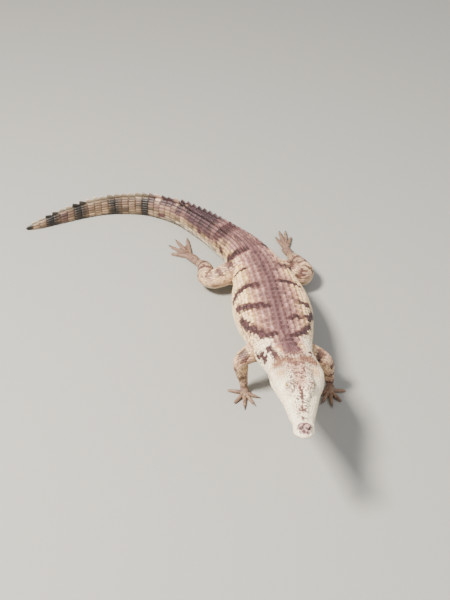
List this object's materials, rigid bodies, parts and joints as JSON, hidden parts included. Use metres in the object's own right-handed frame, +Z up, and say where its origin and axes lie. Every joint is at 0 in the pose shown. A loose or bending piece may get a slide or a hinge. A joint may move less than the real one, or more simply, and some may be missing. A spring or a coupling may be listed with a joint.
{
  "type": "young saltwater crocodile model",
  "caption": "Life-size still model of a young saltwater crocodile, chest propped on its forelegs, head raised, hips resting and tail swept to its right on the floor.",
  "frame": {"origin": "on the floor under the centre of the whole animal's bounding box", "axes": "+Z up, the animal's head points along -Y, its left side is +X, and the body's length lies mostly along Y"},
  "size_m": [0.4836, 0.6344, 0.1402],
  "materials": {
    "body_skin": "scaly hide, satin, pale yellow-cream with dark brown bars and a purplish grey-brown back",
    "head_skin": "smooth tight skin, satin, bright cream with small dark brown specks",
    "eye": "glossy, wet, yellow-brown iris with an upright slit pupil",
    "claw": "dark horn, satin"
  },
  "bodies": {
    "root": {"upper_head": "head_skin", "lower_jaw": "head_skin", "eye_left": "eye", "eye_right": "eye", "neck": "body_skin", "chest": "body_skin", "belly_and_hips": "body_skin", "tail_1": "body_skin", "tail_2": "body_skin", "tail_3": "body_skin", "tail_4": "body_skin", "tail_5": "body_skin", "arm_left": "body_skin", "arm_right": "body_skin", "forearm_left": "body_skin", "forearm_right": "body_skin", "hand_left": "body_skin", "hand_right": "body_skin", "thigh_left": "body_skin", "thigh_right": "body_skin", "shank_left": "body_skin", "shank_right": "body_skin", "foot_left": "body_skin", "foot_right": "body_skin", "hand_left_claw_1": "claw", "hand_left_claw_2": "claw", "hand_left_claw_3": "claw", "hand_right_claw_1": "claw", "hand_right_claw_2": "claw", "hand_right_claw_3": "claw", "foot_left_claw_1": "claw", "foot_left_claw_2": "claw", "foot_left_claw_3": "claw", "foot_right_claw_1": "claw", "foot_right_claw_2": "claw", "foot_right_claw_3": "claw"}
  },
  "joints": []
}
